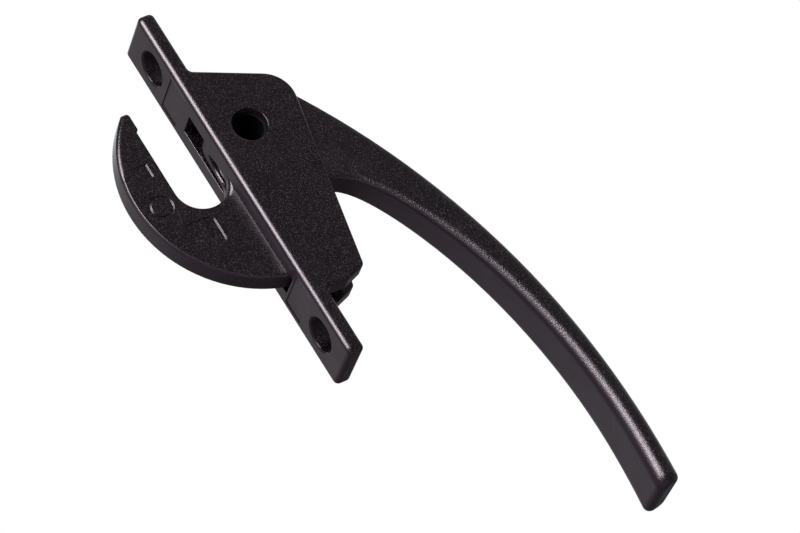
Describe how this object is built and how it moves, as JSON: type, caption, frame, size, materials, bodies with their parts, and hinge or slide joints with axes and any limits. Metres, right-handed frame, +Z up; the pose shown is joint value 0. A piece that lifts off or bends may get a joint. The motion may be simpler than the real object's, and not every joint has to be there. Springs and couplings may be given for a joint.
{
  "type": "casement window locking handle",
  "caption": "Casement window locking handle: a cast lever with a hook and a long curved grip turns on a pin between the cheeks of a narrow, slotted, screw-on face plate.",
  "frame": {"origin": "on the front face of the face plate, midway between the two screw holes", "axes": "+X from the hook side through the plate to the grip side, +Y along the pin towards its headed end, +Z up along the plate, with the handle shut and its grip hanging down"},
  "size_m": [0.0618, 0.0118, 0.1221],
  "materials": {
    "housing": "satin black, finely textured",
    "lever": "satin black, finely textured",
    "pivot_pin": "satin black"
  },
  "bodies": {
    "frame": {"housing": "housing", "pivot_pin": "pivot_pin"},
    "lever": {"lever": "lever"}
  },
  "joints": [
    {"name": "lever_pivot", "type": "hinge", "parent": "frame", "child": "lever", "pos_m": [0.0078, 0, 0.01015], "axis": [0, -1, 0], "range_deg": [0, 90]}
  ]
}
